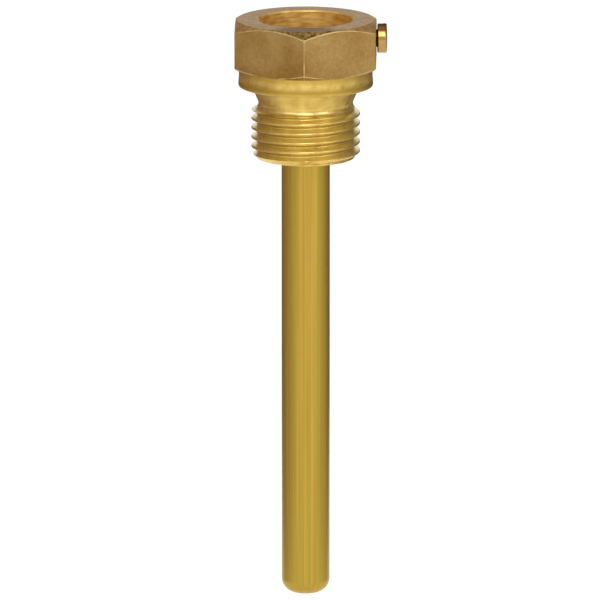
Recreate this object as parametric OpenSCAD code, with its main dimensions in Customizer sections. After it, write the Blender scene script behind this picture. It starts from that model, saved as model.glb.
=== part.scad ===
// Thermowell for a plug-in sensor. A turned head has a hexagon, a sealing collar and a
// pipe thread, a closed tube is soldered into it from below, and a small screw in one
// flat clamps the sensor's neck in the socket.
// Millimetres. The origin is on the axis, level with the sealing face under the collar.
// +Z runs up out of the socket, and +X runs out along the clamping screw.

/* [Hexagon] */
// Width across the flats
hex_af = 27; // [26:0.5:36]
// Height from the collar to the top face
hex_h = 9.5; // [8:0.5:16]
// Distance from the flats to the rim of the top face
top_rim_inset = 0.4; // [0.2:0.1:1]
// Slope of the chamfer on the top corners, from level
top_chamfer_deg = 30; // [15:1:40]
// Distance from the flats to where the chamfer under the corners starts
under_rim_inset = 0.1; // [0.05:0.05:0.3]
// Slope of the chamfer under the corners, from level
under_chamfer_deg = 27; // [15:1:40]

/* [Collar] */
// Distance from the flats to the collar's side
collar_inset = 0.55; // [0.4:0.05:0.9]
// Height from the sealing face to the hexagon
collar_h = 3.5; // [2.5:0.5:6]
// Rounding of the collar's lower edge
collar_round = 0.6; // [0.4:0.1:1.4]

/* [Pipe thread] */
// Diameter over the crests
thread_d = 20.955; // [18.955:0.1:21.955]
// Threads in an inch
thread_tpi = 14; // [11:1:19]
// Angle between the flanks
thread_angle = 55; // [50:5:60]
// Length from the sealing face to the end face
shank_l = 14; // [12:0.5:24]
// Direction, round from the clamping screw, in which the thread leaves its relief
thread_start_deg = 230; // [0:5:355]
// Slope of the chamfer at the end, from the axis
lead_chamfer_deg = 45; // [30:5:60]

/* [Thread relief] */
// Depth of its narrowest point below the sealing face
relief_drop = 3.3; // [2.8:0.1:4]
// How much deeper it is cut than the thread's root
relief_under_root = 0.22; // [0.1:0.02:0.5]
// Radius of its rounded bottom
relief_nose_r = 1.3; // [1.2:0.1:2]
// Slope of its flank towards the collar, from the axis
relief_flank_deg = 24; // [15:1:35]

/* [Socket] */
// Diameter of the socket for the sensor's neck
socket_d = 18; // [14:0.1:19]
// Depth of the socket's straight wall below the top face
socket_depth = 10; // [8:0.5:11]
// Chamfer at the socket's mouth
socket_chamfer = 0.25; // [0.1:0.05:0.5]
// Point angle of the drill that left the socket's floor
drill_point_deg = 120; // [118:1:140]
// Length of the guide bore between the floor and the end of the tube
guide_l = 2; // [1:0.5:4]

/* [Tube] */
// Outside diameter
tube_d = 9.3; // [8:0.1:11]
// Wall
tube_wall = 0.6; // [0.4:0.05:1]
// Immersion length, from the sealing face to the tip
immersion_l = 100; // [40:1:300]
// Thickness of the closed end
tip_wall = 1; // [0.7:0.1:2]
// Rounding of the closed end's corner
tip_round = 2.8; // [1.2:0.1:3.5]
// Gap for solder round the tube in the head
solder_gap = 0.05; // [0.02:0.01:0.1]

/* [Clamping screw] */
// Diameter of the screw's shank
screw_d = 4; // [3:0.5:5]
// Clearance between the shank and its hole, all round
screw_clearance = 0.05; // [0.02:0.01:0.1]
// Depth of the screw's axis below the top face
screw_drop = 3.7; // [3.4:0.1:5]
// Diameter of the head
screw_head_d = 5.7; // [5:0.1:6.6]
// Thickness of the head
screw_head_h = 1.9; // [1.2:0.1:2.4]
// Height of the dome on the head's face
screw_dome = 0.12; // [0.05:0.01:0.3]
// Rounding of the head's edges
screw_head_round = 0.3; // [0.1:0.05:0.4]
// Gap between the head and the flat, with the screw just short of the socket
screw_gap = 0.25; // [0.2:0.05:1]
// Distance from the screw's tip to the socket's wall, in the same place
screw_tip_gap = 0.15; // [0.1:0.05:0.3]
// Diameter of the undercut below the head
undercut_d = 3.4; // [2.6:0.1:4]
// Length of the undercut
undercut_l = 0.9; // [0.5:0.1:1.2]
// Chamfer on the screw's tip
tip_chamfer = 0.4; // [0.2:0.1:0.8]
// Width of the driver's slot
slot_w = 0.9; // [0.6:0.1:1.2]
// Depth of the driver's slot, from the middle of the dome
slot_depth = 0.8; // [0.5:0.1:1]

/* [Hidden] */
$fn = 96;

// How far a cutting shape reaches past what it cuts
past = 1;

// Hexagon and collar
top_z = collar_h + hex_h;
flat_r = hex_af / 2;
corner_r = flat_r / cos(30);
rim_r = flat_r - top_rim_inset;
under_rim_r = flat_r - under_rim_inset;
collar_r = flat_r - collar_inset;

// Pipe thread: a Whitworth form, which is a triangle of height thread_v with a sixth
// taken off its crest and its root, both rounded
pitch = 25.4 / thread_tpi;
half_flank = thread_angle / 2;
thread_v = pitch / 2 / tan(half_flank);
thread_depth = thread_v * 2 / 3;
thread_round = thread_v / 6 * sin(half_flank) / (1 - sin(half_flank));
thread_r = thread_d / 2;
root_r = thread_r - thread_depth;
relief_r = root_r - relief_under_root;
relief_blend = 0.01; // how far the flank's line cuts into the rounded bottom
lead_l = thread_depth / tan(lead_chamfer_deg);

// Steps of the helix in one turn, and of the arc in half a root
turn_steps = 40;
root_steps = 2;
// Sweep of the arcs at root and crest, and the share of the crest's arc left as a land
arc_sweep = 90 - half_flank;
crest_land = 0.4;

// Bores and tube
socket_r = socket_d / 2;
socket_floor_z = top_z - socket_depth;
tube_r = tube_d / 2;
bore_r = tube_r - tube_wall;
guide_top_z = socket_floor_z - (socket_r - bore_r) / tan(drill_point_deg / 2);
seat_z = guide_top_z - guide_l;
seat_r = tube_r + solder_gap;

// Clamping screw
screw_z = top_z - screw_drop;
screw_r = screw_d / 2;
screw_hole_r = screw_r + screw_clearance;
screw_head_r = screw_head_d / 2;
undercut_r = undercut_d / 2;
screw_head_x = flat_r + screw_gap;
screw_tip_x = socket_r + screw_tip_gap;

// Hexagon with a vertex towards -Y, its corners chamfered above and below
module hexagon() {
    reach_r = corner_r + past;
    intersection() {
        translate([0, 0, collar_h]) rotate(30) cylinder(r = corner_r, h = hex_h, $fn = 6);
        rotate_extrude() polygon([
            [0, collar_h],
            [under_rim_r, collar_h],
            [reach_r, collar_h + (reach_r - under_rim_r) * tan(under_chamfer_deg)],
            [reach_r, top_z - (reach_r - rim_r) * tan(top_chamfer_deg)],
            [rim_r, top_z],
            [0, top_z]
        ]);
    }
}

// Half section of the collar and of the shank before its thread is cut
module turned_section() {
    square([collar_r - collar_round, collar_h]);
    translate([0, collar_round]) square([collar_r, collar_h - collar_round]);
    translate([collar_r - collar_round, collar_round]) circle(collar_round);
    difference() {
        polygon([
            [0, 0], [0, -shank_l], [root_r, -shank_l], [thread_r, lead_l - shank_l], [thread_r, 0]
        ]);
        relief_section();
    }
}

// Half section of the relief: a rounded bottom, and a flank that leaves it close to a
// tangent and rises past the sealing face
module relief_section() {
    foot_r = relief_nose_r - relief_blend;
    flank_foot = foot_r * [-cos(relief_flank_deg), sin(relief_flank_deg)];
    rise = relief_drop + past;
    flank_top = flank_foot[0] + (rise - flank_foot[1]) * tan(relief_flank_deg);
    translate([relief_r + relief_nose_r, -relief_drop]) {
        circle(relief_nose_r);
        polygon([[0, 0], flank_foot, [flank_top, rise], [collar_r, rise], [collar_r, 0]]);
    }
}

// Half section of the space between two crests, as [out from the root, along the axis]:
// the root's arc, the flank, the crest's arc and a straight wall past the crest
function groove_half() = [
    for (share = [0:1 / root_steps:1])
        let (a = share * arc_sweep)
        [thread_round * (1 - cos(a)), thread_round * sin(a)],
    for (share = [1, crest_land])
        let (a = share * arc_sweep)
        [thread_depth - thread_round * (1 - cos(a)), pitch / 2 - thread_round * sin(a)],
    [thread_depth + past, pitch / 2 - thread_round * sin(crest_land * arc_sweep)]
];

// Right-hand groove, a section in the axial plane carried down a helix, which starts in
// the open relief and runs out past the end face
module thread_groove() {
    half = groove_half();
    last = len(half) - 1;
    section = [
        for (i = [last:-1:1]) [half[i][0], -half[i][1]],
        for (p = half) p
    ];
    sides = len(section);
    rings = ceil((shank_l - relief_drop + pitch) / pitch * turn_steps);
    points = [
        for (k = [0:rings], p = section)
            let (a = thread_start_deg - k * 360 / turn_steps, r = root_r + p[0])
            [r * cos(a), r * sin(a), p[1] - relief_drop - k * pitch / turn_steps]
    ];
    walls = [
        for (k = [0:rings - 1], i = [0:sides - 1])
            let (a = k * sides + i, b = k * sides + (i + 1) % sides)
            each [[a, b, a + sides], [b, b + sides, a + sides]]
    ];
    ends = [
        [for (i = [sides - 1:-1:0]) i],
        [for (i = [0:sides - 1]) rings * sides + i]
    ];
    polyhedron(points, concat(walls, ends));
}

// Half section of the socket, drill cone, guide bore and tube seat
module axial_bores_section() {
    mouth_r = socket_r + socket_chamfer + past;
    polygon([
        [0, -shank_l - past],
        [seat_r, -shank_l - past],
        [seat_r, seat_z],
        [bore_r, seat_z],
        [bore_r, guide_top_z],
        [socket_r, socket_floor_z],
        [socket_r, top_z - socket_chamfer],
        [mouth_r, top_z + past],
        [0, top_z + past]
    ]);
}

// Turned brass head
module head_body() {
    color("#ab8f55") difference() {
        union() {
            hexagon();
            rotate_extrude() turned_section();
        }
        thread_groove();
        rotate_extrude() axial_bores_section();
        translate([0, 0, screw_z]) rotate([0, 90, 0]) cylinder(r = screw_hole_r, h = corner_r + past);
    }
}

// Half section of a rod of radius r from z up to top, its lower corner rounded
module round_end_section(r, z, top, corner) {
    translate([0, z]) square([r - corner, top - z]);
    translate([0, z + corner]) square([r, top - z - corner]);
    translate([r - corner, z + corner]) intersection() {
        circle(corner);
        translate([0, -corner]) square(corner);
    }
}

// Drawn brass tube, closed at its tip
module well_tube() {
    color("#b3983d") rotate_extrude() difference() {
        round_end_section(tube_r, -immersion_l, seat_z, tip_round);
        round_end_section(bore_r, tip_wall - immersion_l, seat_z + past, tip_round - tube_wall);
    }
}

// Half section of the screw below its head, which ends in a chamfered tip at z = -l
module screw_shank_section(l) {
    polygon([
        [0, screw_head_round],
        [0, -l],
        [screw_r - tip_chamfer, -l],
        [screw_r, tip_chamfer - l],
        [screw_r, -undercut_l],
        [undercut_r, -undercut_l],
        [undercut_r, screw_head_round]
    ]);
}

// Half section of the head: a disc with rounded edges under a domed face
module screw_head_section() {
    edge = screw_head_round;
    dome_r = (screw_head_r * screw_head_r + screw_dome * screw_dome) / 2 / screw_dome;
    intersection() {
        union() {
            square([screw_head_r - edge, screw_head_h]);
            translate([0, edge]) square([screw_head_r, screw_head_h - 2 * edge]);
            for (z = [edge, screw_head_h - edge]) translate([screw_head_r - edge, z]) circle(edge);
        }
        translate([0, screw_head_h - dome_r]) circle(dome_r);
        square([screw_head_d, screw_head_h]);
    }
}

// Brass clamping screw, its slot upright
module clamp_screw() {
    color("#d6ae62") translate([screw_head_x, 0, screw_z]) rotate([0, 90, 0]) difference() {
        rotate_extrude() {
            screw_shank_section(screw_head_x - screw_tip_x);
            screw_head_section();
        }
        translate([-screw_head_d, -slot_w / 2, screw_head_h - slot_depth])
            cube([2 * screw_head_d, slot_w, slot_depth + past]);
    }
}

head_body();
well_tube();
clamp_screw();
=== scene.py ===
"""A brass thermowell: a turned head, a closed tube soldered into it and a clamping screw.

Metres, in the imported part's frame: the origin is on the axis, level with the sealing
face, +Z runs up out of the socket and +X out along the clamping screw. Sizes written
here are in millimetres, and those of the studio in metres.
"""
import math

import bmesh
import bpy
import numpy as np
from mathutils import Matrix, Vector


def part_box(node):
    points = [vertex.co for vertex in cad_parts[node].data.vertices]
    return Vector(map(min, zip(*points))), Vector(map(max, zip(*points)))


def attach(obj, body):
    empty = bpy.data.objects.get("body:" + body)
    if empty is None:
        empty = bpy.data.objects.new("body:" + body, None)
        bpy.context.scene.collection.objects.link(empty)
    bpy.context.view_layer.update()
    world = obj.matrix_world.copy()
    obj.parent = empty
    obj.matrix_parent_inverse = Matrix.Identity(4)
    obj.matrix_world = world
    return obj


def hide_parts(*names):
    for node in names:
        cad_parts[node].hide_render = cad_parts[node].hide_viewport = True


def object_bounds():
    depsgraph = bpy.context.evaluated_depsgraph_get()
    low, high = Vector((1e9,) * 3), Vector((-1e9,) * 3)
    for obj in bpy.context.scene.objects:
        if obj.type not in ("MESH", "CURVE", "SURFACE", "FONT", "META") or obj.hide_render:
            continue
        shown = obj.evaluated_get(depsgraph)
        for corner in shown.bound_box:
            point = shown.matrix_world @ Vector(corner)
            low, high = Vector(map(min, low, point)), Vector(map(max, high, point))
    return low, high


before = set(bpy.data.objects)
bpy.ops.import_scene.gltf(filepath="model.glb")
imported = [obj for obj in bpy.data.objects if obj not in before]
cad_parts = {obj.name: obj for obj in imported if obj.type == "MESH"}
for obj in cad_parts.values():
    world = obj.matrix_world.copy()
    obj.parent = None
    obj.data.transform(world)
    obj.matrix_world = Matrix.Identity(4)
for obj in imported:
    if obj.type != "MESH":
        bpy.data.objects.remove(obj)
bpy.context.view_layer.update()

# ---------------------------------------------------------------------------------------
# Head. One piece turned from 27 mm hexagon bar of free-cutting brass: hexagon with
# chamfered corners, sealing collar, thread relief and half-inch pipe thread. The flats
# keep the matt skin of the pickled bar, the top is turned dull and the rest bright.
# ---------------------------------------------------------------------------------------
MM = 0.001
head_low, head_high = (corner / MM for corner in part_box("head_body"))
tube_low, tube_high = (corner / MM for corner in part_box("well_tube"))
screw_low, screw_high = (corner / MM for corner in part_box("clamp_screw"))

# Hexagon: half its width across flats, the arc at each corner, and the radius where the
# chamfer above and the finer one below begin, with how far each falls per millimetre out
FLAT_R = head_high.x
CORNER_ROUND = 0.18
TOP_Z = head_high.z
TOP_RIM_R = FLAT_R - 0.4
TOP_CHAMFER = math.tan(math.radians(30))
UNDER_RIM_R = FLAT_R - 0.1
UNDER_CHAMFER = math.tan(math.radians(27))

# Collar, very slightly waisted, with a soft lower edge
COLLAR_H = 3.5
COLLAR_R = FLAT_R - 0.55
COLLAR_ROUND = 1.1
COLLAR_WAIST = 0.12
COLLAR_WAIST_Z = COLLAR_H - 1.4

# Pipe thread G 1/2 with its relief. The profile is carried to just below the sealing
# face, and from there the shank is worked out in rows of equal height
THREAD_R = 20.955 / 2
PITCH = 25.4 / 14
HALF_FLANK = math.radians(55 / 2)
THREAD_DEPTH = PITCH / 3 / math.tan(HALF_FLANK)
ROOT_R = THREAD_R - THREAD_DEPTH
THREAD_START = math.radians(230)
RELIEF_Z = -3.3
RELIEF_R = ROOT_R - 0.22
RELIEF_NOSE_R = 1.3
RELIEF_FLANK = math.radians(24)
SHANK_TOP_Z = -0.2
SHANK_STEP = 0.06
END_Z = head_low.z

# Bores: the sensor's socket, the guide for its stem and the seat of the tube. The profile
# starts and ends at a seam on the socket's wall
SOCKET_R = 9.0
SOCKET_FLOOR_Z = TOP_Z - 10
SEAM_Z = SOCKET_FLOOR_Z + 4
MOUTH_CHAMFER = 0.25
TUBE_R = tube_high.x
TUBE_WALL = 0.6
TUBE_BORE_R = TUBE_R - TUBE_WALL
SEAT_R = TUBE_R + 0.05
SEAT_Z = tube_high.z
GUIDE_TOP_Z = SEAT_Z + 2

# Hole for the clamping screw, drilled from outside the flat into the socket's hollow
SCREW_Z = (screw_low.z + screw_high.z) / 2
SCREW_HOLE_R = 2.05
HOLE_OUTER_X = FLAT_R + 2
HOLE_INNER_X = SOCKET_R - 3

# Half the angle of a flat, between the small arcs at its two corners
FLAT_END = math.atan((FLAT_R - CORNER_ROUND) * math.tan(math.pi / 6) / FLAT_R)


def hexagon_angles():
    """Directions round the head. Across a flat they are half its angle times the sine of
    35 even steps, which lie closest at its ends, and 7 more go round each corner's arc."""
    across = FLAT_END * np.sin(np.linspace(-1, 1, 35) * math.pi / 2)
    corner = np.linspace(FLAT_END, math.pi / 3 - FLAT_END, 9)[1:-1]
    sector = np.concatenate([across, corner])
    return np.concatenate([sector + k * math.pi / 3 for k in range(6)])


def hexagon_radius(angle):
    """Radius of a hexagon with rounded corners. Across a flat it is the flat's distance
    over the cosine of the angle from the flat's middle, and near a corner it is where
    the ray leaves a circle set into the corner."""
    off_flat = np.abs((angle + math.pi / 6) % (math.pi / 3) - math.pi / 6)
    off_corner = math.pi / 6 - off_flat
    centre = (FLAT_R - CORNER_ROUND) / math.cos(math.pi / 6)
    within = np.clip(CORNER_ROUND**2 - (centre * np.sin(off_corner)) ** 2, 0, None)
    arc = centre * np.cos(off_corner) + np.sqrt(within)
    return np.where(off_flat > FLAT_END, arc, FLAT_R / np.cos(off_flat))


def thread_radius(angle, z, crest_r, pitch, half_flank, root_z):
    """Radius of a right-hand Whitworth thread whose root passes root_z at angle 0 and
    rises one pitch a turn. By distance along the axis from the nearest root it is an
    arc, a straight flank and an arc of the same radius at the crest."""
    depth = pitch / 3 / math.tan(half_flank)
    arc = depth / 4 * math.sin(half_flank) / (1 - math.sin(half_flank))
    reach = arc * math.cos(half_flank)
    turns = (z - root_z) / pitch - angle / (2 * math.pi)
    along = np.abs(turns - np.round(turns)) * pitch
    root = arc - np.sqrt(arc**2 - np.minimum(along, reach) ** 2)
    flank = np.clip(along - reach, 0, pitch / 2 - 2 * reach) / math.tan(half_flank)
    left = np.minimum(pitch / 2 - along, reach)
    crest = np.sqrt(arc**2 - left**2) - math.sqrt(arc**2 - reach**2)
    return crest_r - depth + root + flank + np.where(left < reach, crest, 0)


def relief_radius(z):
    """Radius of the thread relief: a circle about its deepest point, and above where the
    flank leaves that circle at a tangent a straight cone. Wide open below the circle."""
    off = z - RELIEF_Z
    foot = RELIEF_NOSE_R * math.sin(RELIEF_FLANK)
    on_circle = np.clip(off, -RELIEF_NOSE_R, foot)
    bottom = RELIEF_R + RELIEF_NOSE_R - np.sqrt(RELIEF_NOSE_R**2 - on_circle**2)
    flank = np.clip(off - foot, 0, None) * math.tan(RELIEF_FLANK)
    return np.where(off < -RELIEF_NOSE_R, THREAD_R, bottom + flank)


def rows_of(profile, angle):
    """Rows of (r, z) at every angle, from a profile of (r, z) whose values are numbers or
    one number for each angle."""
    return [np.stack([r + 0 * angle, z + 0 * angle], -1) for r, z in profile]


def eased(corners, ease):
    """Rows along a path of [corner, ..., (r, z)] with its corners eased: each one becomes
    the curve (1-t)^2 start + 2t(1-t) corner + t^2 end, whose ends lie `ease` from the
    corner and at most 0.4 of the way along its sides. A row just outside each end keeps
    the sides flat to the eye. Gives the rows, which of them are on a curve, and the
    number of the side that each row begins."""
    rows = [corners[0]]
    on_curve = [0]
    side = [0]
    for before, here, after, reach in zip(corners, corners[1:], corners[2:], ease):
        ways = [before - here, after - here]
        lengths = [np.linalg.norm(way, axis=-1, keepdims=True) for way in ways]
        limit = np.minimum(reach, 0.4 * np.minimum(*lengths))
        start, end = (here + way / length * limit for way, length in zip(ways, lengths))
        rows.append(start + (start - here) * 0.2)
        rows += [
            start * (1 - t) ** 2 + here * 2 * t * (1 - t) + end * t**2
            for t in np.linspace(0, 1, 5)
        ]
        rows.append(end + (end - here) * 0.2)
        on_curve += [0, 0, 1, 1, 1, 0, 0]
        side += [side[-1]] * 3 + [side[-1] + 1] * 4
    return [*rows, corners[-1]], np.array([*on_curve, 0]), np.array([*side, side[-1]])


def revolved(rows, angle):
    """Points [row, column, xyz] of rows of (r, z) carried round the Z axis: x is r times
    the cosine of the angle, y is r times its sine."""
    r, z = np.moveaxis(np.stack(rows), -1, 0)
    return np.stack([r * np.cos(angle), r * np.sin(angle), z], -1)


def laid_along_screw(points):
    """The same points with their Z axis laid on the clamping screw's axis: x is the old z,
    y the old x, and z the old y plus the screw's height."""
    return points[..., [2, 0, 1]] + (0, 0, SCREW_Z)


def surface(name, points, loop, **attributes):
    """Mesh over a grid of points [row, column, xyz] in millimetres, whose columns close
    on themselves. Its rows do so too if loop is true, and otherwise a fan of triangles
    closes each end to the middle of its last row. Attributes are values per row and
    column, kept on the mesh for its materials."""
    rows, columns, _ = points.shape
    ring = np.arange(columns)
    step = (ring + 1) % columns
    row, column = np.meshgrid(np.arange(rows if loop else rows - 1), ring, indexing="ij")
    after = (column + 1) % columns
    below = (row + 1) % rows
    quads = np.stack([row * columns, below * columns, below * columns, row * columns], -1)
    quads += np.stack([column, column, after, after], -1)
    faces = quads.reshape(-1, 4).tolist()
    vertices = points.reshape(-1, 3)
    values = {
        key: (value + np.zeros((rows, columns))).ravel() for key, value in attributes.items()
    }
    if not loop:
        first, last, end = rows * columns, rows * columns + 1, (rows - 1) * columns
        vertices = np.concatenate([vertices, points[[0, -1]].mean(1)])
        faces += np.stack([np.full(columns, first), ring, step], -1).tolist()
        faces += np.stack([np.full(columns, last), end + step, end + ring], -1).tolist()
        values = {key: np.append(value, value[[0, -1]]) for key, value in values.items()}
    mesh = bpy.data.meshes.new(name)
    mesh.from_pydata((vertices * MM).tolist(), [], faces)
    for key, value in values.items():
        data = mesh.attributes.new(key, "FLOAT", "POINT").data
        data.foreach_set("value", value.astype(np.float32))
    mesh.shade_smooth()
    piece = bpy.data.objects.new(name, mesh)
    bpy.context.collection.objects.link(piece)
    return piece


def sharpen_arrises(mesh):
    """Marks the edges that turn by more than 40 degrees, so that they don't shade as
    round ones."""
    mesh.set_sharp_from_angle(angle=math.radians(40))


def cut_away(piece, cutter):
    """Takes the cutter's volume out of the piece for good."""
    boolean = piece.modifiers.new("cut", "BOOLEAN")
    boolean.object = cutter
    boolean.solver = "EXACT"
    evaluated = piece.evaluated_get(bpy.context.evaluated_depsgraph_get())
    cut = bpy.data.meshes.new_from_object(evaluated)
    piece.modifiers.clear()
    piece.data = cut
    sharpen_arrises(cut)
    bpy.data.objects.remove(cutter)


# Outside, from the socket's wall over the top and down to the relief. The first sides of
# this profile have names, because their finish and wear differ
angle = hexagon_angles()
hexagon_r = hexagon_radius(angle)
WALL, MOUTH, TOP, CHAMFER, FLAT, UNDER = range(6)
outside = [
    (SOCKET_R, SEAM_Z),
    (SOCKET_R, TOP_Z - MOUTH_CHAMFER),
    (SOCKET_R + MOUTH_CHAMFER, TOP_Z),
    (TOP_RIM_R, TOP_Z),
    (hexagon_r, TOP_Z - (hexagon_r - TOP_RIM_R) * TOP_CHAMFER),
    (hexagon_r, COLLAR_H + (hexagon_r - UNDER_RIM_R) * UNDER_CHAMFER),
    (UNDER_RIM_R, COLLAR_H),
    (COLLAR_R, COLLAR_H),
    (COLLAR_R - COLLAR_WAIST, COLLAR_WAIST_Z),
    (COLLAR_R, COLLAR_ROUND),
    (COLLAR_R, 0),
    (relief_radius(0.0), 0),
    (relief_radius(SHANK_TOP_Z), SHANK_TOP_Z),
]
outer_rows, outer_curved, outer_side = eased(
    rows_of(outside, angle), [0.05, 0.05, 0.12, 0.16, 0.16, 0.05, 0.05, 1, 1, COLLAR_ROUND, 0.1]
)

# Shank: its radius is the least of the thread, the relief and the chamfer on the first turn
shank_z = np.arange(SHANK_TOP_Z, END_Z, -SHANK_STEP)[1:, None]
root_z = RELIEF_Z - THREAD_START / (2 * math.pi) * PITCH
thread = thread_radius(angle, shank_z, THREAD_R, PITCH, HALF_FLANK, root_z)
shank_r = np.where(shank_z > RELIEF_Z, THREAD_R, thread)
shank_r = np.minimum(shank_r, relief_radius(shank_z))
shank_r = np.minimum(shank_r, ROOT_R + shank_z - END_Z)
shank_rows = rows_of(zip(shank_r, shank_z), angle)

# End face and bores, back up to the seam. Side 0 of this profile is the end face
bores = [
    (ROOT_R, END_Z),
    (SEAT_R, END_Z),
    (SEAT_R, SEAT_Z),
    (TUBE_BORE_R, SEAT_Z),
    (TUBE_BORE_R, GUIDE_TOP_Z),
    (SOCKET_R, SOCKET_FLOOR_Z),
    (SOCKET_R, SEAM_Z),
]
bore_rows, _, bore_side = eased(rows_of(bores, angle), [0.15, 0.05, 0.15, 0.1, 0.1])
bore_rows, bore_side = bore_rows[:-1], bore_side[:-1]

# Which of the head's materials each row begins, in the order in which they are made below
SKIN, FACED, TURNED, BORED, STAINED = range(5)
outer_finish = np.select(
    [outer_side <= MOUTH, outer_side == TOP, outer_side == CHAMFER, outer_side <= UNDER],
    [BORED, FACED, STAINED, SKIN],
    TURNED,
)
shank_finish = np.full(len(shank_rows), TURNED)
bore_finish = np.where(bore_side == 0, TURNED, BORED)
finish = np.concatenate([outer_finish, shank_finish, bore_finish])

# Handling has rubbed the corners of the hexagon and the lines where its chamfers end, and the
# pale colour of these lines is partly a painted highlight
wear = np.select([outer_side == CHAMFER, outer_side == FLAT, outer_side == UNDER], [1, 0.7, 0.5], 0)
on_corner = hexagon_r > FLAT_R / math.cos(math.pi / 6) - CORNER_ROUND * 0.22
worn_edge = np.zeros((len(finish), 1))
worn_edge[: len(outer_rows), 0] = outer_curved * wear
worn_edge = np.maximum(worn_edge, (finish == SKIN)[:, None] * on_corner * 0.8)

# How much the shank faces up, from 0 where it stands upright to 1 on a thread's flank: what
# its radius gains for each millimetre down, as a share of what a flank gains. It masks a
# painted light on the flanks that face up
gain = np.gradient(shank_r, SHANK_STEP, axis=0)
faces_up = np.zeros_like(worn_edge)
faces_up[len(outer_rows) : -len(bore_rows)] = np.clip(gain * math.tan(HALF_FLANK), 0, 1)

head = surface(
    "head",
    revolved(outer_rows + shank_rows + bore_rows, angle),
    loop=True,
    worn_edge=worn_edge,
    faces_up=faces_up,
)
head.data.polygons.foreach_set("material_index", np.repeat(finish, len(angle)).astype(np.int32))

drill = rows_of([(SCREW_HOLE_R, HOLE_OUTER_X), (SCREW_HOLE_R, HOLE_INNER_X)], angle)
cut_away(head, surface("screw_hole", laid_along_screw(revolved(drill, angle)), loop=False))
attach(head, "well")
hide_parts("head_body")


def linear(colour):
    """The linear colour of an sRGB hex value. Each part is itself over 12.92 where it is
    dark, and otherwise ((part + 0.055) / 1.055) to the power 2.4."""
    parts = np.array([int(colour[k : k + 2], 16) for k in (1, 3, 5)]) / 255
    parts = np.where(parts <= 0.04045, parts / 12.92, ((parts + 0.055) / 1.055) ** 2.4)
    return (*parts.tolist(), 1.0)


def add(tree, kind, inputs=None, **settings):
    """Adds a shader node. Settings are its properties. Inputs are its sockets, by name or
    by number, each with a value, a socket that feeds it, or a node whose first output does."""
    made = tree.nodes.new("ShaderNode" + kind)
    for name, value in settings.items():
        setattr(made, name, value)
    for key, value in (inputs or {}).items():
        by_name = [s for s in made.inputs if s.name == key and s.enabled]
        socket = by_name[0] if by_name else made.inputs[key]
        if isinstance(value, bpy.types.Node):
            value = next(s for s in value.outputs if s.enabled)
        if isinstance(value, bpy.types.NodeSocket):
            tree.links.new(value, socket)
        else:
            socket.default_value = value
    return made


def start_material(piece, name):
    """Appends a new material to the piece and gives its empty node tree."""
    material = bpy.data.materials.new(name)
    material.use_nodes = True
    material.node_tree.nodes.clear()
    piece.data.materials.append(material)
    return material.node_tree


def finish_metal(tree, colour, roughness, relief, rise):
    """Ends a material in bare metal, whose surface rises by `rise` millimetres where the
    relief goes from 0 to 1."""
    bump = add(tree, "Bump", {"Height": relief, "Strength": 1.0, "Distance": rise * MM})
    sockets = {"Base Color": colour, "Metallic": 1.0, "Roughness": roughness, "Normal": bump}
    add(tree, "OutputMaterial", {"Surface": add(tree, "BsdfPrincipled", sockets)})


# Pale rubbed brass, paler still as a painted highlight on the edges
RUBBED_BRIGHT = linear("#f6dca4")
# Corner at -Y: the chamfer by it carries a painted dark reflection, and the top is darker there
STAINED_CORNER = (0, -FLAT_R * MM, TOP_Z * MM)

# Hexagon brass, cold drawn and then pickled. The acid leaves the flats matt and a little
# brown, in clouds of 9 mm, over which a painted shade darkens them towards the collar. Its
# etched grain is far finer than the 0.6 mm drawn here. Handling has rubbed the corners
# bright, in patches of 2 mm, and their pale colour is partly a painted highlight
tree = start_material(head, "brass_pickled_bar_skin")
place = add(tree, "TexCoord").outputs["Object"]
height = add(tree, "SeparateXYZ", {0: place}).outputs["Z"]
cloud = add(
    tree, "TexNoise", {"Vector": place, "Scale": 1 / (9 * MM), "Detail": 5.0, "Roughness": 0.5}
)
tint = add(tree, "MapRange", {"Value": cloud, "From Min": 0.33, "From Max": 0.67})
# Painted shade: the flats grow paler towards the top and darker towards the collar
bottom_to_top = {"From Min": COLLAR_H * MM, "From Max": TOP_Z * MM, "To Min": -0.3, "To Max": 0.25}
rise = add(tree, "MapRange", {"Value": height, **bottom_to_top})
paler = add(tree, "Math", {0: tint, 1: rise}, operation="ADD", use_clamp=True)
brown = add(
    tree, "Mix", {"Factor": paler, "A": linear("#987337"), "B": linear("#b6965d")}, data_type="RGBA"
)
grain = add(
    tree, "TexNoise", {"Vector": place, "Scale": 1 / (0.6 * MM), "Detail": 6.0, "Roughness": 0.75}
)
spots = add(tree, "MapRange", {"Value": grain, "From Min": 0.35, "From Max": 0.65})
skin = add(
    tree, "Mix", {"Factor": 0.25, "A": brown, "B": spots}, data_type="RGBA", blend_type="MULTIPLY"
)
patches = add(tree, "TexNoise", {"Vector": place, "Scale": 1 / (2 * MM), "Detail": 2.0})
broken = add(
    tree,
    "MapRange",
    {"Value": patches, "From Min": 0.4, "From Max": 0.6, "To Min": 0.1, "To Max": 0.8},
)
# Worn edges, whose pale colour is partly a painted highlight
edge = add(tree, "Attribute", attribute_name="worn_edge").outputs["Fac"]
rubbed = add(tree, "Math", {0: edge, 1: broken}, operation="MULTIPLY")
colour = add(tree, "Mix", {"Factor": rubbed, "A": skin, "B": RUBBED_BRIGHT}, data_type="RGBA")
roughness = add(tree, "MapRange", {"Value": edge, "To Min": 0.52, "To Max": 0.34})
finish_metal(tree, colour, roughness, grain, 0.02)
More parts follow.
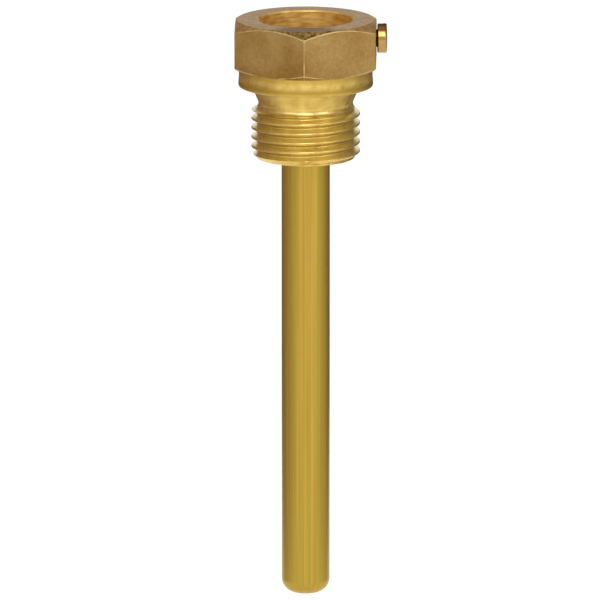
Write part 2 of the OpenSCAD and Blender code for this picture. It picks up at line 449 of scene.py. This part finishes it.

# The top face is turned dry. It stays dull, speckled and greyer than the rest, and darker by
# the corner at -Y. Its tool marks are drawn as a coarse grain of 0.6 mm
tree = start_material(head, "brass_faced_dull")
place = add(tree, "TexCoord").outputs["Object"]
cloud = add(tree, "TexNoise", {"Vector": place, "Scale": 1 / (3 * MM), "Detail": 3.0})
grey = add(
    tree, "Mix", {"Factor": cloud, "A": linear("#bd9b69"), "B": linear("#dfc08d")}, data_type="RGBA"
)
grain = add(tree, "TexNoise", {"Vector": place, "Scale": 1 / (0.6 * MM), "Detail": 4.0})
spots = add(tree, "MapRange", {"Value": grain, "From Min": 0.35, "From Max": 0.65})
dull = add(
    tree, "Mix", {"Factor": 0.35, "A": grey, "B": spots}, data_type="RGBA", blend_type="MULTIPLY"
)
away = add(tree, "VectorMath", {0: place, 1: STAINED_CORNER}, operation="DISTANCE").outputs["Value"]
stain = add(
    tree, "MapRange", {"Value": away, "From Min": 7 * MM, "From Max": 4.5 * MM, "To Max": 0.9}
)
colour = add(
    tree,
    "Mix",
    {"Factor": stain, "A": dull, "B": linear("#a89266")},
    data_type="RGBA",
    blend_type="MULTIPLY",
)
finish_metal(tree, colour, 0.48, grain, 0.04)

# Collar, relief, thread and end face are bright from the tool. A browner tone lies under
# the hexagon, along the collar's lower edge and on the thread, at the heights and strengths
# listed below: partly a browner film, partly painted shade under the hexagon and in the
# crease below the collar. The flanks that face up are painted paler, a painted light, as
# they mirror little but the flank above. The feed marks round the axis are 0.1 mm apart,
# and are drawn 0.3 mm apart
FILM_LOW_Z, FILM_HIGH_Z = -15, 5
FILM_AT = [
    (-12.6, 0), (-12, 0.5), (-4.6, 0.5), (-3.8, 0), (-2.6, 0.1), (-2, 0.4), (-0.4, 0.4),
    (0.3, 0.6), (0.9, 1), (1.3, 0.5), (1.7, 0), (2.1, 0.1), (2.8, 0.6), (3.4, 0.8),
]
tree = start_material(head, "brass_turned_bright")
place = add(tree, "TexCoord").outputs["Object"]
height = add(tree, "SeparateXYZ", {0: place}).outputs["Z"]
cloud = add(
    tree, "TexNoise", {"Vector": place, "Scale": 1 / (2 * MM), "Detail": 3.0, "Lacunarity": 2.3}
)
clouded = add(tree, "MapRange", {"Value": cloud, "From Min": 0.3, "From Max": 0.7})
bright = add(
    tree,
    "Mix",
    {"Factor": clouded, "A": linear("#c3a052"), "B": linear("#e2c672")},
    data_type="RGBA",
)
film_range = {"From Min": FILM_LOW_Z * MM, "From Max": FILM_HIGH_Z * MM}
# The ramp paints shade under the hexagon and in the crease below the collar, along with the browner
# film
film = add(tree, "ValToRGB", {"Fac": add(tree, "MapRange", {"Value": height, **film_range})})
for k, (z, strength) in enumerate(FILM_AT):
    stop = film.color_ramp.elements[k] if k < 2 else film.color_ramp.elements.new(1)
    stop.position = (z - FILM_LOW_Z) / (FILM_HIGH_Z - FILM_LOW_Z)
    stop.color = (strength, strength, strength, 1)
filmed = add(tree, "Mix", {"Factor": film, "A": bright, "B": linear("#a98a38")}, data_type="RGBA")
facing = add(tree, "Attribute", attribute_name="faces_up").outputs["Fac"]
# Painted light: the flanks that face up are paler
colour = add(tree, "Mix", {"Factor": facing, "A": filmed, "B": linear("#f4e8b2")}, data_type="RGBA")
roughness = add(tree, "MapRange", {"Value": cloud, "To Min": 0.22, "To Max": 0.36})
across = add(tree, "VectorMath", {0: place, 1: (1, 1, 0)}, operation="MULTIPLY")
radius = add(tree, "VectorMath", {0: across}, operation="LENGTH").outputs["Value"]
section = add(tree, "CombineXYZ", {"X": radius, "Y": height})
rings = add(tree, "TexNoise", {"Vector": section, "Scale": 1 / (0.3 * MM), "Detail": 2.0})
finish_metal(tree, colour, roughness, rings, 0.01)

# Socket and drill cone, bored with a coarser feed of 0.6 mm, which leaves low bands round
# the wall, four times as long as high, under a brown film
tree = start_material(head, "brass_bored")
place = add(tree, "TexCoord").outputs["Object"]
round_wall = add(tree, "VectorMath", {0: place, 1: (0.25, 0.25, 1)}, operation="MULTIPLY")
cloud = add(tree, "TexNoise", {"Vector": round_wall, "Scale": 1 / (0.6 * MM), "Detail": 4.0})
spots = add(tree, "MapRange", {"Value": cloud, "From Min": 0.35, "From Max": 0.65})
bored = add(
    tree, "Mix", {"Factor": spots, "A": linear("#d2a658"), "B": linear("#f4d788")}, data_type="RGBA"
)
finish_metal(tree, bored, 0.5, cloud, 0.06)

# The chamfer is turned dry too, and comes out as matt as the flats. By the corner at -Y it
# carries a painted dark reflection, broken into specks of 0.8 mm
tree = start_material(head, "brass_chamfer_painted_dark_reflection")
place = add(tree, "TexCoord").outputs["Object"]
grain = add(
    tree, "TexNoise", {"Vector": place, "Scale": 1 / (0.8 * MM), "Detail": 5.0, "Roughness": 0.7}
)
spots = add(tree, "MapRange", {"Value": grain, "From Min": 0.38, "From Max": 0.62})
clean = add(
    tree, "Mix", {"Factor": spots, "A": linear("#a98452"), "B": linear("#d0ac74")}, data_type="RGBA"
)
# Painted dark reflection by the corner at -Y
dark = add(
    tree, "Mix", {"Factor": spots, "A": linear("#5c4019"), "B": linear("#b09058")}, data_type="RGBA"
)
away = add(tree, "VectorMath", {0: place, 1: STAINED_CORNER}, operation="DISTANCE").outputs["Value"]
stain = add(tree, "MapRange", {"Value": away, "From Min": 9 * MM, "From Max": 5 * MM})
chamfer = add(tree, "Mix", {"Factor": stain, "A": clean, "B": dark}, data_type="RGBA")
# The chamfer's rubbed lines carry part of the painted highlight too
edge = add(tree, "Attribute", attribute_name="worn_edge").outputs["Fac"]
rubbed = add(tree, "Math", {0: edge, 1: 0.4}, operation="MULTIPLY")
colour = add(tree, "Mix", {"Factor": rubbed, "A": chamfer, "B": RUBBED_BRIGHT}, data_type="RGBA")
finish_metal(tree, colour, 0.5, grain, 0.05)

# ---------------------------------------------------------------------------------------
# Tube. Drawn brass tube, 9.3 mm over a 0.6 mm wall, its tip spun closed and rounded. It
# stands in the head's bore against the seat and is soldered there.
# ---------------------------------------------------------------------------------------
TIP_Z = tube_low.z
TIP_WALL = 1
TIP_ROUND = 2.8
END_ROW_Z = SEAT_Z - 0.3
around = np.linspace(0, 2 * math.pi, 96, endpoint=False)


def tip_rows(radius, round_r, bottom_z):
    """Rows of (r, z) up a rounded lower corner, a quarter circle from the flat to the wall:
    r is its centre's plus the radius of the round times the sine, z less its cosine."""
    quarter = np.linspace(0, math.pi / 2, 13)
    r = radius - round_r + round_r * np.sin(quarter)
    z = bottom_z + round_r - round_r * np.cos(quarter)
    return rows_of(zip(r, z), around)


outer_tip = tip_rows(TUBE_R, TIP_ROUND, TIP_Z)
inner_tip = tip_rows(TUBE_BORE_R, TIP_ROUND - TUBE_WALL, TIP_Z + TIP_WALL)
upper_end = [
    (TUBE_R, END_ROW_Z),
    (TUBE_R, SEAT_Z),
    (TUBE_BORE_R, SEAT_Z),
    (TUBE_BORE_R, END_ROW_Z),
]
end_rows, _, _ = eased(rows_of(upper_end, around), [0.1, 0.1])
tube = surface("tube", revolved([*outer_tip, *end_rows, *inner_tip[::-1]], around), loop=False)
sharpen_arrises(tube.data)
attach(tube, "well")
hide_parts("well_tube")

# Drawn through a die, which leaves streaks down the tube: fine ones, drawn 0.5 mm wide, in
# paler and deeper yellow, and wider ones of 1.1 mm with a breath of green or of red
tree = start_material(tube, "brass_drawn_tube")
place = add(tree, "TexCoord").outputs["Object"]
down = add(tree, "VectorMath", {0: place, 1: (1, 1, 0.01)}, operation="MULTIPLY")
streaks = add(tree, "TexNoise", {"Vector": down, "Scale": 1 / (0.5 * MM), "Detail": 3.0})
drawn = add(
    tree,
    "Mix",
    {"Factor": streaks, "A": linear("#9c7b2b"), "B": linear("#c2a64f")},
    data_type="RGBA",
)
bands = add(tree, "TexNoise", {"Vector": down, "Scale": 1 / (1.1 * MM), "Detail": 1.0})
hue = add(tree, "MapRange", {"Value": bands, "From Min": 0.35, "From Max": 0.65})
tints = add(
    tree, "Mix", {"Factor": hue, "A": linear("#f4fdea"), "B": linear("#fff6ee")}, data_type="RGBA"
)
colour = add(
    tree, "Mix", {"Factor": 1.0, "A": drawn, "B": tints}, data_type="RGBA", blend_type="MULTIPLY"
)
finish_metal(tree, colour, 0.32, streaks, 0.004)

# ---------------------------------------------------------------------------------------
# Clamping screw. A slotted M4 brass screw, rolled thread, turned head, that runs in
# through the hexagon's +X flat and grips what stands in the socket.
# ---------------------------------------------------------------------------------------
SCREW_TIP_X = screw_low.x
SCREW_FACE_X = screw_high.x
SCREW_GAP = 0.25
SCREW_HEAD_X = FLAT_R + SCREW_GAP
SCREW_HEAD_R = (screw_high.z - screw_low.z) / 2
SCREW_R = 2.0
SCREW_PITCH = 0.7
SCREW_HALF_FLANK = math.radians(30)
SCREW_STEP = 0.04
POINT_CHAMFER = 0.4
UNDERCUT_R = 1.7
UNDERCUT_X = SCREW_HEAD_X - 0.9
FACE_CROWN = 0.11
SLOT_W = 0.9
SLOT_DEPTH = 0.8
SLOT_L = 8

# Rows of (r, x): the thread with its chamfered point, then the undercut and the head,
# whose face is very slightly crowned
turns = np.linspace(0, 2 * math.pi, 72, endpoint=False)
thread_x = np.arange(SCREW_TIP_X + SCREW_STEP / 2, UNDERCUT_X, SCREW_STEP)[:, None]
thread_r = np.minimum(
    thread_radius(turns, thread_x, SCREW_R, SCREW_PITCH, SCREW_HALF_FLANK, SCREW_TIP_X),
    SCREW_R - POINT_CHAMFER + thread_x - SCREW_TIP_X,
)
screw_head = [
    (SCREW_R - 0.25, UNDERCUT_X),
    (UNDERCUT_R, UNDERCUT_X + 0.05),
    (UNDERCUT_R, SCREW_HEAD_X),
    (SCREW_HEAD_R, SCREW_HEAD_X),
    (SCREW_HEAD_R, SCREW_FACE_X - FACE_CROWN),
    (0.6, SCREW_FACE_X - 0.005),
    (0.3, SCREW_FACE_X),
]
thread_rows = rows_of(zip(thread_r, thread_x), turns)
head_rows, _, _ = eased(rows_of(screw_head, turns), [0.03, 0.1, 0.28, 0.3, 0.1])
screw = surface("screw", laid_along_screw(revolved(thread_rows + head_rows, turns)), loop=False)

# The slot is milled right across the face, with a cutter that overshoots it on all sides
mill = bmesh.new()
bmesh.ops.create_cube(mill, size=1)
bmesh.ops.scale(mill, vec=(2 * SLOT_DEPTH * MM, SLOT_W * MM, SLOT_L * MM), verts=mill.verts)
bmesh.ops.translate(mill, vec=(SCREW_FACE_X * MM, 0, SCREW_Z * MM), verts=mill.verts)
mill_mesh = bpy.data.meshes.new("slot")
mill.to_mesh(mill_mesh)
cutter = bpy.data.objects.new("slot", mill_mesh)
bpy.context.collection.objects.link(cutter)
cut_away(screw, cutter)
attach(screw, "screw")
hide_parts("clamp_screw")

# Turned and polished brass. The head's upper side is painted darker red-brown, a painted
# dark reflection, and the shank behind the head is painted dark, a painted shade in the
# gap by the hexagon. Both go with the screw when it turns out
tree = start_material(screw, "brass_polished_with_painted_shade")
place = add(tree, "TexCoord").outputs["Object"]
along = add(tree, "SeparateXYZ", {0: place})
cloud = add(tree, "TexNoise", {"Vector": place, "Scale": 1 / (1 * MM), "Detail": 3.0})
clean = add(
    tree, "Mix", {"Factor": cloud, "A": linear("#9c7a3e"), "B": linear("#b8965a")}, data_type="RGBA"
)
upper_side = {"From Min": (SCREW_Z + 1.1) * MM, "From Max": (SCREW_Z + 2.1) * MM}
# Painted dark reflection on the head's upper side
tarnish = add(
    tree,
    "MapRange",
    {"Value": along.outputs["Z"], **upper_side},
    interpolation_type="SMOOTHSTEP",
)
tarnished = add(
    tree, "Mix", {"Factor": tarnish, "A": clean, "B": linear("#825428")}, data_type="RGBA"
)
# Painted shade in the gap between the head and the hexagon's flat
behind_head = {"From Min": (SCREW_HEAD_X + 0.25) * MM, "From Max": (SCREW_HEAD_X + 0.05) * MM}
grime = add(tree, "MapRange", {"Value": along.outputs["X"], **behind_head})
colour = add(
    tree, "Mix", {"Factor": grime, "A": tarnished, "B": linear("#432812")}, data_type="RGBA"
)
finish_metal(tree, colour, 0.17, cloud, 0.01)

# ---------------------------------------------------------------------------------------
# Studio. A pale paper floor well below the part, which its mount would hold in the air, a
# white backdrop, and three soft lamps: a large one overhead in front, a smaller one to the
# right of the camera and a weaker one to the left.
# ---------------------------------------------------------------------------------------
low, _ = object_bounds()
FLOOR_Z = low[2] - 0.04
FLOOR_REACH = 6.0
FLOOR_GLOW = 0.3
WHITE = (1, 1, 1, 1)


def stage_sheet(name, corners):
    """A flat sheet between four corners, in metres, that is no part of the object."""
    mesh = bpy.data.meshes.new(name)
    mesh.from_pydata(corners, [], [(0, 1, 2, 3)])
    sheet = bpy.data.objects.new(name, mesh)
    bpy.context.collection.objects.link(sheet)
    return sheet


floor = stage_sheet(
    "floor",
    [(x * FLOOR_REACH, y * FLOOR_REACH, FLOOR_Z) for x, y in [(-1, -1), (1, -1), (1, 1), (-1, 1)]],
)

# White paper, lifted to white for the eye and in reflections, and with the part's shadow
tree = start_material(floor, "paper_floor")
path = add(tree, "LightPath").outputs
seen = add(tree, "Math", {0: path["Is Camera Ray"], 1: path["Is Glossy Ray"]}, operation="MAXIMUM")
seen = add(tree, "Math", {0: seen, 1: path["Is Transmission Ray"]}, operation="MAXIMUM")
lift = add(tree, "Math", {0: seen, 1: FLOOR_GLOW}, operation="MULTIPLY")
paper = add(tree, "BsdfDiffuse", {"Color": linear("#f4f4f2")})
glow = add(tree, "Emission", {"Color": WHITE, "Strength": lift})
add(tree, "OutputMaterial", {"Surface": add(tree, "AddShader", {0: paper, 1: glow})})

# World: white to the camera, and an even grey to matt surfaces. In reflections it is a
# room with brown-grey walls, a bright ceiling above the front and a white backdrop
BACKDROP_EDGE = {"From Min": math.cos(math.radians(30)), "From Max": math.cos(math.radians(14))}
CEILING_EDGE = {"From Min": -0.25, "From Max": 0.6}
CEILING_WAY = (0, -0.77, 0.64)
EVEN_GREY = (0.75, 0.75, 0.75, 1)
world = bpy.data.worlds.new("studio")
bpy.context.scene.world = world
world.use_nodes = True
tree = world.node_tree
tree.nodes.clear()
way = add(tree, "TexCoord").outputs["Generated"]
to_back = add(tree, "VectorMath", {0: way, 1: (0, 1, 0)}, operation="DOT_PRODUCT").outputs["Value"]
backdrop = add(
    tree, "MapRange", {"Value": to_back, **BACKDROP_EDGE}, interpolation_type="SMOOTHSTEP"
)
to_front = add(tree, "VectorMath", {0: way, 1: CEILING_WAY}, operation="DOT_PRODUCT")
ceiling = add(
    tree,
    "MapRange",
    {"Value": to_front.outputs["Value"], **CEILING_EDGE},
    interpolation_type="SMOOTHSTEP",
)
walls = add(
    tree,
    "Mix",
    {"Factor": ceiling, "A": linear("#7c7066"), "B": linear("#fffcf6")},
    data_type="RGBA",
)
room = add(tree, "Mix", {"Factor": backdrop, "A": walls, "B": WHITE}, data_type="RGBA")
path = add(tree, "LightPath").outputs
mirrored = add(
    tree, "Math", {0: path["Is Glossy Ray"], 1: path["Is Transmission Ray"]}, operation="MAXIMUM"
)
lit = add(tree, "Mix", {"Factor": mirrored, "A": EVEN_GREY, "B": room}, data_type="RGBA")
shown = add(
    tree, "Mix", {"Factor": path["Is Camera Ray"], "A": lit, "B": WHITE}, data_type="RGBA"
)
add(tree, "OutputWorld", {"Surface": add(tree, "Background", {"Color": shown, "Strength": 1.0})})

# Cards that only the metal sees darken the outlines of round pieces: a brown one on each
# side, fading in from the front, the left one sooner, and a dark one low at the back
CARD_X = 0.13
CARD_BACK = 0.4
CARD_H = 0.35
LOW_CARD_Y = 0.3
LOW_CARD_TOP = -0.03


def hang_card(name, corners):
    """A card that shows in reflections, and is hidden from the eye and from matt surfaces."""
    card = stage_sheet(name, corners)
    card.visible_camera = False
    card.visible_diffuse = False
    card.visible_shadow = False
    return card


for name, x, front, solid, brown in [
    ("left_card", -CARD_X, -0.2, 0.14, "#a48a6c"),
    ("right_card", CARD_X, -0.08, 0.14, "#9c8a70"),
]:
    reach = [(front, 0), (CARD_BACK, 0), (CARD_BACK, CARD_H), (front, CARD_H)]
    card = hang_card(name, [(x, y, FLOOR_Z + up) for y, up in reach])
    tree = start_material(card, "brown_card")
    place = add(tree, "TexCoord").outputs["Object"]
    along = add(tree, "SeparateXYZ", {0: place}).outputs["Y"]
    fade = add(tree, "MapRange", {"Value": along, "From Min": front, "From Max": solid})
    clear = add(tree, "BsdfTransparent")
    paper = add(tree, "BsdfDiffuse", {"Color": linear(brown)})
    add(tree, "OutputMaterial", {"Surface": add(tree, "MixShader", {0: fade, 1: clear, 2: paper})})

reach = [(-CARD_X, FLOOR_Z), (CARD_X, FLOOR_Z), (CARD_X, LOW_CARD_TOP), (-CARD_X, LOW_CARD_TOP)]
low_card = hang_card("low_card", [(x, LOW_CARD_Y, z) for x, z in reach])
tree = start_material(low_card, "dark_card")
paper = add(tree, "BsdfDiffuse", {"Color": linear("#6a5a40")})
add(tree, "OutputMaterial", {"Surface": paper})


# Lamps look at the middle of the part, and the camera a little to the side of it
LAMP_TARGET = (0, 0, -0.04)


def aim(thing, azimuth, elevation, distance, target):
    """Stands a camera or lamp at an azimuth a from -Y towards +X, an elevation e and a
    distance from a target, looking at it: the way to it is (sin a cos e, -cos a cos e,
    sin e)."""
    a, e = math.radians(azimuth), math.radians(elevation)
    offset = np.array([math.sin(a) * math.cos(e), -math.cos(a) * math.cos(e), math.sin(e)])
    thing.location = np.array(target) + distance * offset
    thing.rotation_euler = (math.pi / 2 - e, 0, a)
    bpy.context.collection.objects.link(thing)


def softbox(name, width, height, radiance, azimuth, elevation, distance):
    """A rectangular lamp of a given radiance, whose power is pi times that times its area."""
    lamp = bpy.data.lights.new(name, "AREA")
    lamp.shape = "RECTANGLE"
    lamp.size = width
    lamp.size_y = height
    lamp.energy = math.pi * radiance * width * height
    aim(bpy.data.objects.new(name, lamp), azimuth, elevation, distance, LAMP_TARGET)


softbox("overhead", 0.45, 0.7, radiance=4.2, azimuth=0, elevation=46, distance=1.1)
softbox("key", 0.35, 0.6, radiance=2.0, azimuth=45, elevation=28, distance=1.1)
softbox("fill", 0.5, 0.6, radiance=1.0, azimuth=-40, elevation=30, distance=1.3)

VIEW_AZIMUTH = 1.2
VIEW_ELEVATION = 12.2
VIEW_DISTANCE = 2.0
VIEW_TARGET = (-0.0011, 0, -0.0422)
FRAME_WIDTH = 0.1158
SENSOR_WIDTH = 36
camera_data = bpy.data.cameras.new("camera")
camera_data.sensor_width = SENSOR_WIDTH
camera_data.lens = SENSOR_WIDTH * VIEW_DISTANCE / FRAME_WIDTH
camera = bpy.data.objects.new("camera", camera_data)
aim(camera, VIEW_AZIMUTH, VIEW_ELEVATION, VIEW_DISTANCE, VIEW_TARGET)
bpy.context.scene.camera = camera
bpy.context.scene.view_settings.view_transform = "Standard"
